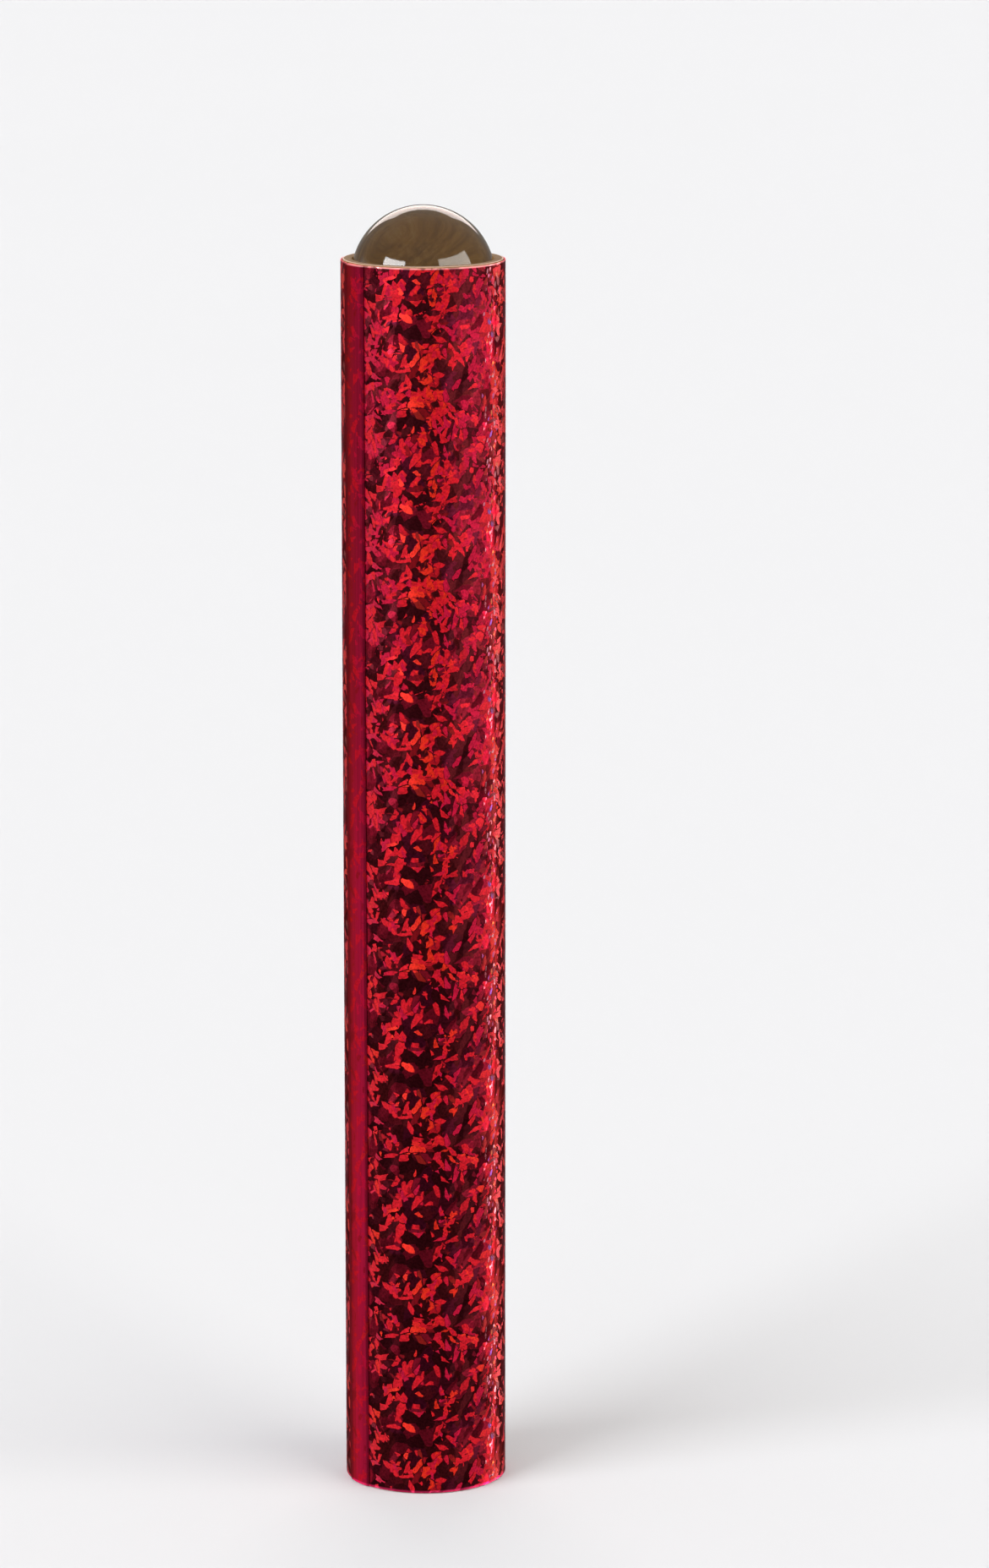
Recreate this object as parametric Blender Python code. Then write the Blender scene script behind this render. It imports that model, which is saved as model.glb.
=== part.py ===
"""Marble-ended kaleidoscope: a foil-covered paper tube, a mirror prism inside it, an eyepiece
in the lower end and a glass marble in the upper end.

Metres, +Z up. The origin is the centre of the lower (eyepiece) end, the tube stands on it,
and +Z runs along the tube to the marble.
"""

import math

import bmesh
import bpy

# Driving dimensions ------------------------------------------------------------------------
TUBE_LENGTH = 0.2190
MARBLE_RADIUS = 0.0125
MARBLE_BELOW_RIM = 0.0033
BOARD_THICKNESS = 0.0012
FILM_THICKNESS = 0.0002
BORE_RADIUS = 0.0128
MIRROR_SIDE = 0.0200
MIRROR_THICKNESS = 0.0012
SIGHT_HOLE_RADIUS = 0.0045

# Gaps between pieces that touch or are glued together ----------------------------------------
GAP = 0.0003
GLUE_GAP = 0.0001

# Tube and its mouth: the board is crimped in a little just above the marble's widest part ----
FACETS = 72
BOARD_OUTER = BORE_RADIUS + BOARD_THICKNESS
BOARD_EDGE_BEVEL = 0.00015
LIP_RADIUS = 0.0123
LIP_HEIGHT = 0.0007
LIP_RAMP = 0.0008

# Film wrap: a sheet rolled once round the board, its last degrees glued over its first --------
FILM_INNER = BOARD_OUTER + GLUE_GAP
FILM_END_MARGIN = 0.0002
LAP_START_DEG = -155.0
LAP_STEPS = 4

# Marble and its seat --------------------------------------------------------------------------
MARBLE_CENTRE_Z = TUBE_LENGTH - MARBLE_BELOW_RIM
MARBLE_SEGMENTS = 48
MARBLE_RINGS = 24
SEAT_INNER = 0.0100
SEAT_HEIGHT = 0.0045
SEAT_BEVEL = 0.0006

# Eyepiece: a cup whose floor holds the sight hole; the window lies on that floor --------------
PLUG_RECESS = 0.0008
PLUG_FLOOR = 0.0018
PLUG_DEPTH = 0.0072
PLUG_OUTER = BORE_RADIUS - 0.0002
PLUG_WALL = 0.0014
PLUG_EDGE_BEVEL = 0.0003
SIGHT_FLARE_RADIUS = 0.0078
SIGHT_FLARE_SHARE = 0.6
WINDOW_THICKNESS = 0.0010
RING_INNER = 0.0080
ROUND_FACETS = 48

# Mirror prism: three strips whose silvered faces make an equilateral channel ------------------
MIRROR_CORNER_GAP = 0.00035
MIRROR_EDGE_BEVEL = 0.00008
TAPE_WIDTH = 0.0120
TAPE_THICKNESS = 0.0002
TAPE_PLACES = (("lower", 0.12), ("middle", 0.5), ("upper", 0.88))

# Levels along the axis ------------------------------------------------------------------------
PLUG_FLOOR_TOP = PLUG_RECESS + PLUG_FLOOR
PLUG_TOP = PLUG_RECESS + PLUG_DEPTH
WINDOW_BOTTOM = PLUG_FLOOR_TOP + GAP
WINDOW_TOP = WINDOW_BOTTOM + WINDOW_THICKNESS
RING_BOTTOM = WINDOW_TOP + GAP
SEAT_REACH = MARBLE_RADIUS + GAP
SEAT_TOP = MARBLE_CENTRE_Z - math.sqrt(SEAT_REACH**2 - (SEAT_INNER + SEAT_BEVEL) ** 2)
SEAT_BOTTOM = SEAT_TOP - SEAT_HEIGHT
MIRROR_BOTTOM = PLUG_TOP + GAP
MIRROR_TOP = SEAT_BOTTOM - GAP


def clear_scene():
    """Empties the scene before the model is made."""
    for thing in list(bpy.data.objects):
        bpy.data.objects.remove(thing, do_unlink=True)


def material(name, colour, roughness, metallic=0.0, transmission=0.0, ior=1.5):
    """A Principled material in one plain finish."""
    made = bpy.data.materials.new(name)
    made.use_nodes = True
    shader = made.node_tree.nodes["Principled BSDF"]
    shader.inputs["Base Color"].default_value = (*colour, 1.0)
    shader.inputs["Roughness"].default_value = roughness
    shader.inputs["Metallic"].default_value = metallic
    shader.inputs["Transmission Weight"].default_value = transmission
    shader.inputs["IOR"].default_value = ior
    made.diffuse_color = (*colour, 1.0)
    return made


def place(name, mesh, finish, smooth_angle=30.0):
    """Puts a finished mesh into the scene as one named object."""
    mesh.materials.append(finish)
    mesh.shade_smooth()
    mesh.set_sharp_from_angle(angle=math.radians(smooth_angle))
    made = bpy.data.objects.new(name, mesh)
    bpy.context.scene.collection.objects.link(made)
    return made


def mesh_from(name, shape):
    """Turns a bmesh into a mesh whose faces all point outwards."""
    bmesh.ops.recalc_face_normals(shape, faces=shape.faces[:])
    mesh = bpy.data.meshes.new(name)
    shape.to_mesh(mesh)
    shape.free()
    return mesh


def turned(name, profile, steps, finish):
    """A ring or disc: a closed outline of (radius, height) points spun once round the Z axis."""
    shape = bmesh.new()
    points = [shape.verts.new((radius, 0.0, height)) for radius, height in profile]
    edges = [shape.edges.new(pair) for pair in zip(points, points[1:] + points[:1])]
    bmesh.ops.spin(
        shape,
        geom=points + edges,
        cent=(0.0, 0.0, 0.0),
        axis=(0.0, 0.0, 1.0),
        angle=math.tau,
        steps=steps,
        use_merge=True,
    )
    return place(name, mesh_from(name, shape), finish)


def board_finish(name):
    """Kraft paperboard, matt and tan."""
    return material(name, (0.42, 0.27, 0.14), 0.9)


def make_tube_body():
    """The wound board tube: square lower end, and a mouth crimped in over the marble's shoulder."""
    mouth = BORE_RADIUS
    profile = [
        (mouth, BOARD_EDGE_BEVEL),
        (mouth + BOARD_EDGE_BEVEL, 0.0),
        (BOARD_OUTER - BOARD_EDGE_BEVEL, 0.0),
        (BOARD_OUTER, BOARD_EDGE_BEVEL),
        (BOARD_OUTER, TUBE_LENGTH - BOARD_EDGE_BEVEL),
        (BOARD_OUTER - BOARD_EDGE_BEVEL, TUBE_LENGTH),
        (LIP_RADIUS + BOARD_EDGE_BEVEL, TUBE_LENGTH),
        (LIP_RADIUS, TUBE_LENGTH - BOARD_EDGE_BEVEL),
        (LIP_RADIUS, TUBE_LENGTH - LIP_HEIGHT),
        (mouth, TUBE_LENGTH - LIP_HEIGHT - LIP_RAMP),
    ]
    return turned("tube_body", profile, FACETS, board_finish("kraft_board"))


def film_stations():
    """(angle, inner radius) along the rolled sheet: one full turn, a step up, then the lap."""
    step = 360.0 / FACETS
    rise = FILM_THICKNESS + GLUE_GAP
    stations = []
    for index in range(FACETS + LAP_STEPS + 1):
        angle = math.radians(LAP_START_DEG + index * step)
        lifted = rise if index >= FACETS else 0.0
        stations.append((angle, FILM_INNER + lifted))
    return stations


def make_foil_wrap():
    """The printed film: a closed strip, rolled round the board, whose end overlaps its start."""
    shape = bmesh.new()
    low = FILM_END_MARGIN
    high = TUBE_LENGTH - FILM_END_MARGIN
    rings = []
    for angle, inner in film_stations():
        outer = inner + FILM_THICKNESS
        corners = [(inner, low), (outer, low), (outer, high), (inner, high)]
        along = (math.cos(angle), math.sin(angle))
        rings.append([shape.verts.new((r * along[0], r * along[1], z)) for r, z in corners])
    for here, beyond in zip(rings, rings[1:]):
        for a in range(4):
            b = (a + 1) % 4
            shape.faces.new((here[a], here[b], beyond[b], beyond[a]))
    shape.faces.new(rings[0])
    shape.faces.new(rings[-1])
    finish = material("red_film", (0.75, 0.015, 0.03), 0.25, metallic=0.85)
    return place("foil_wrap", mesh_from("foil_wrap", shape), finish)


def make_marble():
    """The glass ball. Its origin is its centre, which its rolling axis passes through."""
    shape = bmesh.new()
    bmesh.ops.create_uvsphere(
        shape,
        u_segments=MARBLE_SEGMENTS,
        v_segments=MARBLE_RINGS,
        radius=MARBLE_RADIUS,
    )
    finish = material("clear_glass", (0.93, 0.95, 0.93), 0.02, transmission=1.0, ior=1.52)
    ball = place("marble", mesh_from("marble", shape), finish, smooth_angle=60.0)
    ball.location = (0.0, 0.0, MARBLE_CENTRE_Z)
    return ball


def make_marble_seat():
    """The card ring under the marble, its inner top edge crushed to a narrow cone."""
    outer = BORE_RADIUS - GAP
    cone_foot = SEAT_TOP - SEAT_BEVEL
    profile = [
        (SEAT_INNER, SEAT_BOTTOM),
        (outer, SEAT_BOTTOM),
        (outer, SEAT_TOP),
        (SEAT_INNER + SEAT_BEVEL, SEAT_TOP),
        (SEAT_INNER, cone_foot),
    ]
    return turned("marble_seat", profile, FACETS, board_finish("seat_card"))


def make_eyepiece_plug():
    """The black cup pressed into the lower end: a dished floor with the sight hole, and a skirt."""
    inner = PLUG_OUTER - PLUG_WALL
    flare_top = PLUG_RECESS + SIGHT_FLARE_SHARE * PLUG_FLOOR
    profile = [
        (SIGHT_HOLE_RADIUS, flare_top),
        (SIGHT_FLARE_RADIUS, PLUG_RECESS),
        (PLUG_OUTER - PLUG_EDGE_BEVEL, PLUG_RECESS),
        (PLUG_OUTER, PLUG_RECESS + PLUG_EDGE_BEVEL),
        (PLUG_OUTER, PLUG_TOP - PLUG_EDGE_BEVEL),
        (PLUG_OUTER - PLUG_EDGE_BEVEL, PLUG_TOP),
        (inner, PLUG_TOP),
        (inner, PLUG_FLOOR_TOP),
        (SIGHT_HOLE_RADIUS, PLUG_FLOOR_TOP),
    ]
    finish = material("black_plastic", (0.012, 0.012, 0.013), 0.35)
    return turned("eyepiece_plug", profile, FACETS, finish)


def make_eyepiece_window():
    """The clear disc that lies on the plug's floor, over the sight hole."""
    shape = bmesh.new()
    bmesh.ops.create_cone(
        shape,
        cap_ends=True,
        segments=ROUND_FACETS,
        radius1=PLUG_OUTER - PLUG_WALL - GAP,
        radius2=PLUG_OUTER - PLUG_WALL - GAP,
        depth=WINDOW_THICKNESS,
    )
    finish = material("clear_plastic", (0.96, 0.97, 0.97), 0.03, transmission=1.0, ior=1.49)
    disc = place("eyepiece_window", mesh_from("eyepiece_window", shape), finish)
    disc.location = (0.0, 0.0, WINDOW_BOTTOM + WINDOW_THICKNESS / 2)
    return disc


def make_window_ring():
    """The card ring inside the cup that traps the window; its top is level with the cup's."""
    outer = PLUG_OUTER - PLUG_WALL - GAP
    profile = [
        (RING_INNER, RING_BOTTOM),
        (outer, RING_BOTTOM),
        (outer, PLUG_TOP),
        (RING_INNER, PLUG_TOP),
    ]
    return turned("window_ring", profile, ROUND_FACETS, board_finish("ring_card"))


def make_mirror_strip(number, finish):
    """One strip of the prism: its silvered face is a side of the triangle, its back faces out."""
    apothem = MIRROR_SIDE / (2 * math.sqrt(3))
    width = MIRROR_SIDE - MIRROR_CORNER_GAP
    length = MIRROR_TOP - MIRROR_BOTTOM
    shape = bmesh.new()
    bmesh.ops.create_cube(shape, size=1.0)
    bmesh.ops.scale(shape, vec=(MIRROR_THICKNESS, width, length), verts=shape.verts[:])
    mesh = mesh_from(f"mirror_strip_{number}", shape)
    strip = place(f"mirror_strip_{number}", mesh, finish)
    turn = math.radians(-90.0 + 120.0 * (number - 1))
    reach = apothem + MIRROR_THICKNESS / 2
    middle = (MIRROR_BOTTOM + MIRROR_TOP) / 2
    strip.location = (reach * math.cos(turn), reach * math.sin(turn), middle)
    strip.rotation_euler = (0.0, 0.0, turn)
    edges = strip.modifiers.new("ground edges", "BEVEL")
    edges.width = MIRROR_EDGE_BEVEL
    edges.segments = 1
    return strip


def prism_outline(offset):
    """The six corners of the band round the prism, this far outside the strips' outer corners.

    The outline has a long side on each strip's back and a short side across each corner. Each
    point is where two neighbouring sides, 60 degrees apart, meet.
    """
    half = math.radians(60.0)
    back = MIRROR_SIDE / (2 * math.sqrt(3)) + MIRROR_THICKNESS
    reach = (MIRROR_SIDE - MIRROR_CORNER_GAP) / 2
    corner = back * math.cos(half) + reach * math.sin(half)
    distances = [back + offset, corner + offset] * 3
    points = []
    for index in range(6):
        a = distances[index]
        b = distances[(index + 1) % 6]
        first = math.radians(-90.0 + 60.0 * index)
        along = (b - a * math.cos(half)) / math.sin(half)
        x = a * math.cos(first) - along * math.sin(first)
        y = a * math.sin(first) + along * math.cos(first)
        points.append((x, y))
    return points


def make_prism_tape(place_name, middle, finish):
    """A band of tape round the three strips."""
    inner = prism_outline(GLUE_GAP)
    outer = prism_outline(GLUE_GAP + TAPE_THICKNESS)
    low = middle - TAPE_WIDTH / 2
    high = middle + TAPE_WIDTH / 2
    shape = bmesh.new()
    rings = []
    for (ix, iy), (ox, oy) in zip(inner, outer):
        corners = [(ix, iy, low), (ox, oy, low), (ox, oy, high), (ix, iy, high)]
        rings.append([shape.verts.new(corner) for corner in corners])
    for here, beyond in zip(rings, rings[1:] + rings[:1]):
        for a in range(4):
            b = (a + 1) % 4
            shape.faces.new((here[a], here[b], beyond[b], beyond[a]))
    name = f"prism_tape_{place_name}"
    return place(name, mesh_from(name, shape), finish)


def make_prism():
    """The three mirror strips and the three bands of tape that hold them together."""
    silver = material("silvered_strip", (0.86, 0.87, 0.88), 0.04, metallic=1.0)
    for number in (1, 2, 3):
        make_mirror_strip(number, silver)
    tape = material("paper_tape", (0.78, 0.72, 0.58), 0.6)
    length = MIRROR_TOP - MIRROR_BOTTOM
    for place_name, share in TAPE_PLACES:
        make_prism_tape(place_name, MIRROR_BOTTOM + share * length, tape)


def main():
    clear_scene()
    make_tube_body()
    make_foil_wrap()
    make_eyepiece_plug()
    make_eyepiece_window()
    make_window_ring()
    make_prism()
    make_marble_seat()
    make_marble()


main()
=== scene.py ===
"""Marble kaleidoscope: the finished surfaces and finishes of a foil-covered toy kaleidoscope.

The fixed frame gives every place and size. Each operator below makes one piece, or one group
of like pieces, as a surface worked out from two parameters, and gives it a node-based finish.
"""

import math

import bmesh
import bpy
import numpy as np
from bpy.props import FloatProperty, FloatVectorProperty, PointerProperty
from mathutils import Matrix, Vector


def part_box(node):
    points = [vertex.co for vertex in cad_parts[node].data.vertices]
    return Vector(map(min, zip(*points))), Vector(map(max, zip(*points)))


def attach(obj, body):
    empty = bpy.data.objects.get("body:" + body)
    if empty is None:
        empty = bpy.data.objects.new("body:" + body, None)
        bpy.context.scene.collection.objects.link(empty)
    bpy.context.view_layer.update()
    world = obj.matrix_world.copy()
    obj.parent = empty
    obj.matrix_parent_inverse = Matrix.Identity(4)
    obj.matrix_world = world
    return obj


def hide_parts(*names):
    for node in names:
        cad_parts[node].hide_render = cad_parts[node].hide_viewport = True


bl_info = {
    "name": "Marble Kaleidoscope",
    "version": (1, 0, 0),
    "blender": (4, 5, 0),
    "location": "3D View > Sidebar > Kaleidoscope",
    "description": "Builds a foil-covered kaleidoscope with a glass marble end",
    "category": "Add Mesh",
}

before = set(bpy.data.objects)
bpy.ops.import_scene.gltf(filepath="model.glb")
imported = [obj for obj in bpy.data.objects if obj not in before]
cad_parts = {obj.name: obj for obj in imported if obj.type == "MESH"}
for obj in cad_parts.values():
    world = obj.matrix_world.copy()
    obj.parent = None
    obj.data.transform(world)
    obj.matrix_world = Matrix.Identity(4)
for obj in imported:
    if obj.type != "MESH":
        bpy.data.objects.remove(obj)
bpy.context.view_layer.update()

MM = 0.001
TUBE_BODY = "scope"
MARBLE_BODY = "marble"

# Sizes read from the frame -------------------------------------------------------------------
FIT_GAP = 0.3 * MM
TUBE_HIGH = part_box("tube_body")[1]
FILM_LOW, FILM_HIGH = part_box("foil_wrap")
BALL_LOW, BALL_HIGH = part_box("marble")
SEAT_LOW, SEAT_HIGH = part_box("marble_seat")
PLUG_LOW, PLUG_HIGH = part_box("eyepiece_plug")
PANE_LOW, PANE_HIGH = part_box("eyepiece_window")
RING_LOW, RING_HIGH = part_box("window_ring")

TUBE_LENGTH = TUBE_HIGH.z
BOARD_OUTER = TUBE_HIGH.x
FILM_OUTER = FILM_HIGH.x
BORE_RADIUS = SEAT_HIGH.x + FIT_GAP
BALL_RADIUS = (BALL_HIGH.z - BALL_LOW.z) / 2
BALL_CENTRE = (BALL_HIGH.z + BALL_LOW.z) / 2

# Details finer than the frame ----------------------------------------------------------------
# The tube's mouth: how far it closes in over the marble, and the depths of its lip and its turn.
MOUTH_CRIMP = 0.2 * MM
MOUTH_LIP = 0.7 * MM
MOUTH_TURN = 1.5 * MM

# The card rings, the eyepiece and its window.
SEAT_INNER = 10.0 * MM
SEAT_CRUSH = 0.6 * MM
RING_INNER = 8.0 * MM
SIGHT_HOLE = 4.5 * MM
SIGHT_FLARE = 7.8 * MM
FLARE_SHARE = 0.6
PANE_EASE = 0.12 * MM
CARD_EASE = 0.2 * MM

# The mirror prism's tape: its flats face these ways, and it has this much crepe.
TAPE_THICKNESS = 0.2 * MM
TAPE_CREPE = 0.012 * MM
TAPE_STEEPNESS = 24.0
TAPE_LEVELS = ("lower", "middle", "upper")
STRIP_FACINGS = (-90.0, 30.0, 150.0)

# The film and the board's winding seam, which shows through it as a shallow dip.
FILM_THICKNESS = 0.2 * MM
FILM_GLUE_GAP = 0.1 * MM
LAP_START = math.radians(-155.0)
LAP_WIDTH = math.radians(20.0)
LAP_RAMP = math.radians(4.0)
EDGE_PRESS = math.radians(1.6)
EDGE_STEPS = np.array([0.8, 0.6, 0.4, 0.25, 0.12, 0.0])
WINDING_PITCH = 62.0 * MM
SEAM_DIP = 0.03 * MM
SEAM_SHARE = 0.03

# Heights on the tube, in millimetres, between which the film changes: its ground goes from painted
# shade at the foot to painted light at the head, its warmth shifts and its margin grows darker.
DARK_BELOW = 60.0
BRIGHT_ABOVE = 180.0
# Painted light: broad warm stripes round the tube, one in front, stand in for the orange that the film
# sends towards the front.
PAINTED_WARM_STRIPES = 5.0
# The patches between slivers: the draw from which each is taken, and its colour.
# Their dark reds are partly the film's own and partly painted shade: the dark surroundings that the
# mirror film shows.
GROUND_PATCHES = (
    (0.45, (0.105, 0.0080, 0.0100)),
    (0.60, (0.092, 0.0055, 0.0210)),
    (0.75, (0.150, 0.0085, 0.0150)),
    (0.92, (0.280, 0.0085, 0.0260)),
)
# Painted glints of other colours, fixed on specks down the right of the front where the light catches the
# film:
# where they are thickest round the tube, half their band's width, and the lie of one with its length and
# width in millimetres.
GLINT_HEADING = math.radians(-34.0)
GLINT_SPREAD = math.radians(13.0)
GLINT_SHARE = 0.20
GLINT_GAP = 0.05
GLINT_SHAPE = (math.radians(80.0), 0.75, 0.40)
GLINT_COLOURS = (
    (0.00, (0.10, 0.055, 0.24)),
    (0.25, (0.30, 0.050, 0.14)),
    (0.50, (0.36, 0.160, 0.18)),
    (0.75, (0.42, 0.035, 0.07)),
    (1.00, (0.44, 0.100, 0.03)),
)
# The streaks of the plain margin, the painted highlight along the film's foot, and the pale line where
# the knife cut its head.
MARGIN_DARK = (0.12, 0.004, 0.012)
MARGIN_LIGHT = (0.42, 0.010, 0.050)
FOOT_HIGHLIGHT = (0.72, 0.030, 0.12)
HEAD_LINE = (0.80, 0.30, 0.30)
# Each lie of slivers: angle in degrees, length and width against the chip size, share, gap.
SLIVER_LIES = (
    (62.0, 2.1, 0.85, 0.80, 0.050),
    (-38.0, 1.7, 0.75, 0.75, 0.055),
    (12.0, 1.6, 0.70, 0.60, 0.060),
    (-75.0, 1.3, 0.60, 0.60, 0.050),
    (30.0, 0.65, 0.5, 0.22, 0.090),
)
FILM_UV = "film_sheet"
TAPE_UV = "tape_run"


# Surfaces ------------------------------------------------------------------------------------
def grid_faces(rows, columns, wrap_rows, wrap_columns):
    """Four corner numbers for each cell of a grid, row by row; a wrapped side joins up."""
    index = np.arange(rows * columns).reshape(rows, columns)
    if wrap_rows:
        index = np.vstack([index, index[:1]])
    if wrap_columns:
        index = np.hstack([index, index[:, :1]])
    corners = (index[:-1, :-1], index[1:, :-1], index[1:, 1:], index[:-1, 1:])
    return np.stack(corners, axis=-1).reshape(-1, 4)


def enclosed_volume(points, faces):
    """Six times the volume inside the faces, positive when they point outwards."""
    a, b, c, d = (points[faces[:, corner]] for corner in range(4))
    first = np.einsum("ij,ij->i", a, np.cross(b, c)).sum()
    second = np.einsum("ij,ij->i", a, np.cross(c, d)).sum()
    return first + second


def make_piece(name, points, faces, finish, sharp_degrees=35.0, uv_name=None, uv=None):
    """Puts points and four-cornered faces into a mesh object, outward, with closed poles."""
    points = np.asarray(points, float).reshape(-1, 3)
    if enclosed_volume(points, faces) < 0:
        faces = faces[:, ::-1]
    mesh = bpy.data.meshes.new(name)
    mesh.from_pydata(points, [], faces)
    if uv_name:
        layer = mesh.uv_layers.new(name=uv_name)
        layer.data.foreach_set("uv", uv.reshape(-1, 2)[faces.ravel()].astype(np.float32).ravel())
    merged = bmesh.new()
    merged.from_mesh(mesh)
    bmesh.ops.remove_doubles(merged, verts=merged.verts, dist=1e-7)
    merged.to_mesh(mesh)
    merged.free()
    mesh.validate()
    mesh.shade_smooth()
    mesh.set_sharp_from_angle(angle=math.radians(sharp_degrees))
    mesh.materials.append(finish)
    piece = bpy.data.objects.new(name, mesh)
    bpy.context.scene.collection.objects.link(piece)
    return piece


def stand_for(piece, body, slot, *nodes):
    """The piece moves with the body and is shown in place of the nodes; the slot is not used."""
    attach(piece, body)
    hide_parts(*nodes)
    return piece


def rounded_outline(corners, steps=6):
    """A closed outline of (radius, height) points from (radius, height, fillet) corners.

    Each corner is cut back by its fillet along both sides, and a parabola whose control point
    is the corner joins the two cuts.
    """
    spots = np.array([corner[:2] for corner in corners])
    fillets = np.array([corner[2] for corner in corners])[:, None]
    to_last = np.roll(spots, 1, axis=0) - spots
    to_next = np.roll(spots, -1, axis=0) - spots
    start = spots + fillets * to_last / np.linalg.norm(to_last, axis=1, keepdims=True)
    end = spots + fillets * to_next / np.linalg.norm(to_next, axis=1, keepdims=True)
    t = np.linspace(0.0, 1.0, steps)[None, :, None]
    bends = (1 - t) ** 2 * start[:, None] + 2 * t * (1 - t) * spots[:, None] + t**2 * end[:, None]
    outline = bends.reshape(-1, 2)
    kept = np.linalg.norm(outline - np.roll(outline, 1, axis=0), axis=1) > 1e-7
    return outline[kept]


def turned(name, outline, finish, steps=192, sharp_degrees=35.0, closed=True):
    """An outline carried round the Z axis: x = r cos a, y = r sin a, z = height.

    A closed outline makes a ring. An open one starts and ends on the axis and makes a disc.
    """
    angle = np.linspace(0.0, math.tau, steps, endpoint=False)[:, None]
    radius, height = outline[:, 0][None, :], outline[:, 1][None, :]
    places = (radius * np.cos(angle), radius * np.sin(angle), height + 0 * angle)
    points = np.stack(places, axis=-1)
    faces = grid_faces(steps, len(outline), True, closed)
    return make_piece(name, points, faces, finish, sharp_degrees)


# Node recipes --------------------------------------------------------------------------------
class Recipe:
    """The node tree of a material or a world, and the few calls it is written with."""

    def __init__(self, owner, output="ShaderNodeOutputMaterial"):
        owner.use_nodes = True
        self.owner = owner
        self.output = output
        self.tree = owner.node_tree
        self.tree.nodes.clear()

    def add(self, kind, inputs=None, **settings):
        """A node of this kind, with its settings, and its sockets set or linked by name."""
        node = self.tree.nodes.new(kind)
        for name, value in settings.items():
            setattr(node, name, value)
        for name, value in (inputs or {}).items():
            self.feed(node.inputs[name], value)
        return node

    def feed(self, socket, value):
        if isinstance(value, bpy.types.NodeSocket):
            self.tree.links.new(value, socket)
        else:
            socket.default_value = value

    def sum(self, operation, *values, clamp=False):
        """One Math node, such as sum("MULTIPLY", a, b)."""
        inputs = dict(enumerate(values))
        return self.add("ShaderNodeMath", inputs, operation=operation, use_clamp=clamp).outputs[0]

    def vector(self, operation, *values):
        node = self.add("ShaderNodeVectorMath", dict(enumerate(values)), operation=operation)
        return node.outputs["Value"] if operation in ("DOT_PRODUCT", "LENGTH") else node.outputs[0]

    def scaled(self, vector, factor):
        inputs = {"Vector": vector, "Scale": factor}
        return self.add("ShaderNodeVectorMath", inputs, operation="SCALE").outputs[0]

    def split(self, vector):
        return self.add("ShaderNodeSeparateXYZ", {"Vector": vector}).outputs

    def joined(self, x, y, z):
        return self.add("ShaderNodeCombineXYZ", {"X": x, "Y": y, "Z": z}).outputs[0]

    def mix(self, share, first, second, blend="MIX"):
        """Colours first and second, mixed by share."""
        node = self.add("ShaderNodeMix", data_type="RGBA", blend_type=blend)
        self.feed(node.inputs[0], share)
        self.feed(node.inputs[6], first)
        self.feed(node.inputs[7], second)
        return node.outputs[2]

    def ramp(self, value, stops, interpolation="LINEAR"):
        """Colours at places from 0 to 1."""
        node = self.add("ShaderNodeValToRGB", {"Fac": value})
        node.color_ramp.interpolation = interpolation
        marks = node.color_ramp.elements
        while len(marks) < len(stops):
            marks.new(1.0)
        for mark, (place, colour) in zip(marks, stops):
            mark.position = place
            mark.color = colour
        return node.outputs["Color"]

    def fade(self, value, low, high, first=0.0, last=1.0):
        """A smooth change from first to last as the value goes from low to high."""
        inputs = {"Value": value, "From Min": low, "From Max": high, "To Min": first, "To Max": last}
        return self.add("ShaderNodeMapRange", inputs, interpolation_type="SMOOTHSTEP").outputs[0]

    def noise(self, vector, scale, detail=2.0, roughness=0.5):
        inputs = {"Vector": vector, "Scale": scale, "Detail": detail, "Roughness": roughness}
        return self.add("ShaderNodeTexNoise", inputs)

    def cells(self, vector, scale, feature="F1"):
        inputs = {"Vector": vector, "Scale": scale}
        return self.add("ShaderNodeTexVoronoi", inputs, feature=feature)

    def object_place(self):
        """The point on the piece, in millimetres."""
        place = self.add("ShaderNodeTexCoord").outputs["Object"]
        return self.scaled(place, 1.0 / MM)

    def bump(self, height, distance, strength=1.0, **sockets):
        """The normal of a surface raised by height times distance, over Normal where it is given."""
        inputs = {"Height": height, "Distance": distance, "Strength": strength, **sockets}
        return self.add("ShaderNodeBump", inputs).outputs["Normal"]

    def principled(self, **sockets):
        """The Principled shader; a socket's name is written with underscores."""
        inputs = {name.replace("_", " "): value for name, value in sockets.items()}
        return self.add("ShaderNodeBsdfPrincipled", inputs)

    def finish(self, shader):
        """Joins the shader to the output and hands over the material or world."""
        output = self.add(self.output)
        self.tree.links.new(shader, output.inputs["Surface"])
        return self.owner


def material_recipe(name):
    return Recipe(bpy.data.materials.new(name))


def opaque(colour):
    """A colour with its alpha."""
    return (*colour, 1.0)


# Finishes ------------------------------------------------------------------------------------
def rolled(recipe, across, up, repeat, lie=0.0, length=1.0, width=1.0):
    """A place on the sheet for cells that lie at an angle, of a length and a width in millimetres.

    The sheet is sheared and stretched so that such a cell becomes one unit wide each way, and its
    height is rolled on a ring whose girth is one repeat, so the pattern comes round again unjoined.
    """
    along = np.array([math.cos(lie), math.sin(lie)])
    beside = np.array([-math.sin(lie), math.cos(lie)])
    stretch = np.outer(along, along) / length**2 + np.outer(beside, beside) / width**2
    rise = math.sqrt(stretch[1, 1])
    shear = stretch[0, 1] / stretch[1, 1]
    run = math.sqrt(stretch[0, 0] - shear**2 * stretch[1, 1])
    sheared = recipe.sum("MULTIPLY_ADD", across, shear, up)
    turn = recipe.sum("MULTIPLY", sheared, math.tau * MM / repeat)
    ring = rise * repeat / math.tau / MM
    return recipe.joined(
        recipe.sum("MULTIPLY", across, run),
        recipe.sum("MULTIPLY", recipe.sum("COSINE", turn), ring),
        recipe.sum("MULTIPLY", recipe.sum("SINE", turn), ring),
    )


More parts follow.
